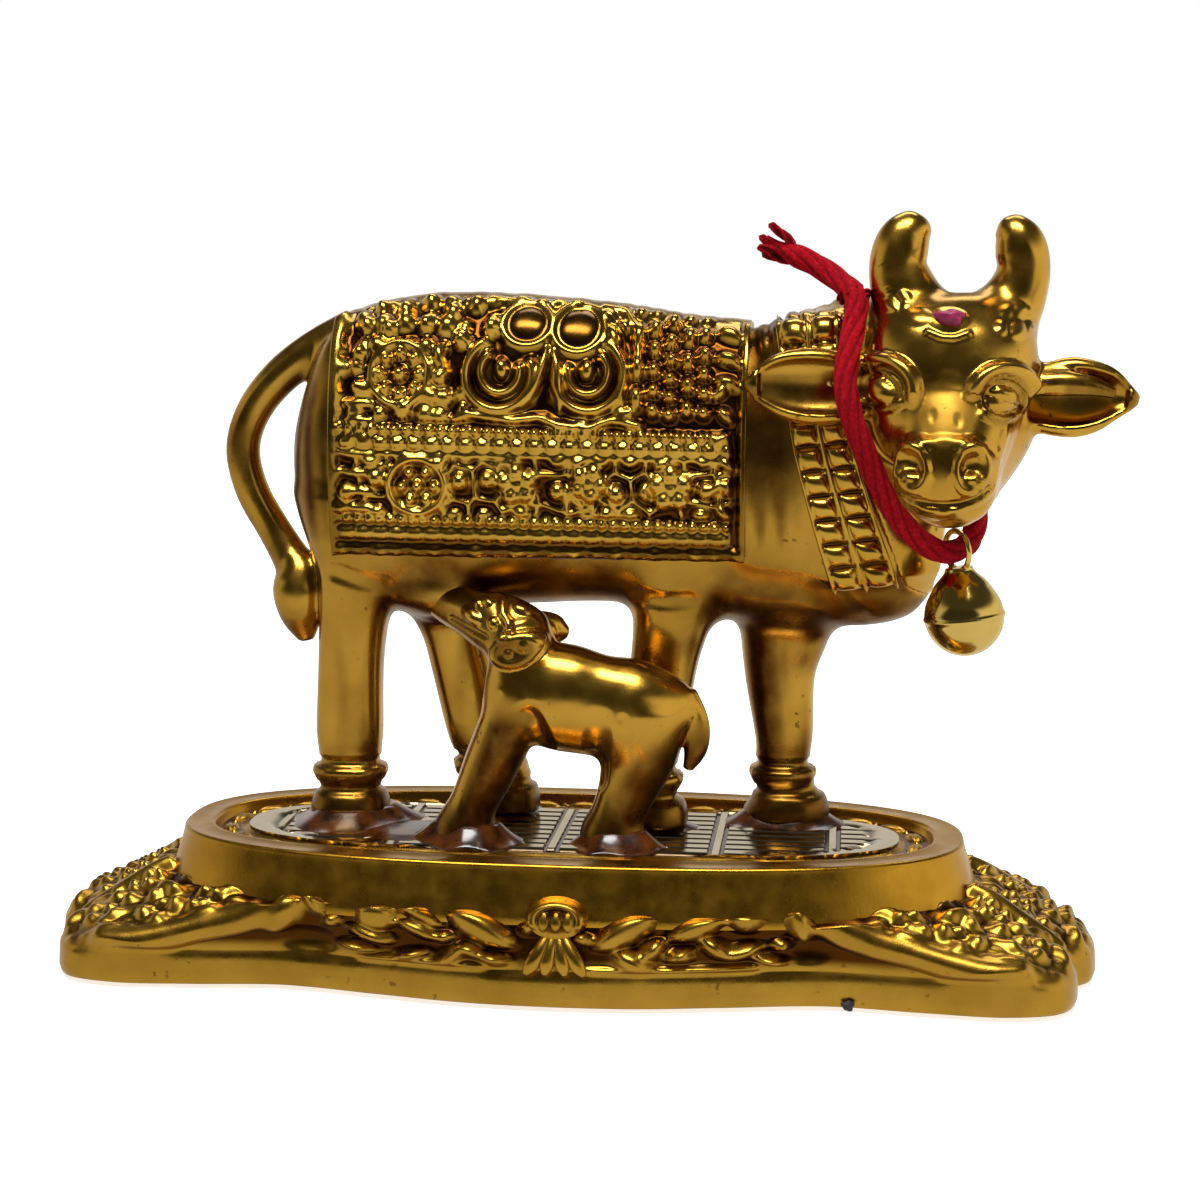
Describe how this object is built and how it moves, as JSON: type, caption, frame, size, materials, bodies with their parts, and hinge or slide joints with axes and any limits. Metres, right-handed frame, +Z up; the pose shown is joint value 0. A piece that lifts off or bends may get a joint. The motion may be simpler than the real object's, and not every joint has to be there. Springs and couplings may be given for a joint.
{
  "type": "cow and calf statue",
  "caption": "Gilded cast figure of a standing cow in a carved saddle cloth with a suckling calf, on an oval plinth, with a red thread and a small bell at its neck.",
  "frame": {"origin": "centre of the plinth's underside", "axes": "+X towards the cow's head end, -Y towards the calf's side, +Z up"},
  "size_m": [0.107, 0.039, 0.0745],
  "materials": {
    "gilding": "mirror gold plate",
    "plinth_gilding": "satin gold plate with a fine grain",
    "cotton": "matt twisted cotton",
    "brass": "polished sheet brass"
  },
  "bodies": {
    "root": {"plinth": "plinth_gilding", "cow_and_calf": "gilding", "neck_thread": "cotton", "bell": "brass"}
  },
  "joints": []
}
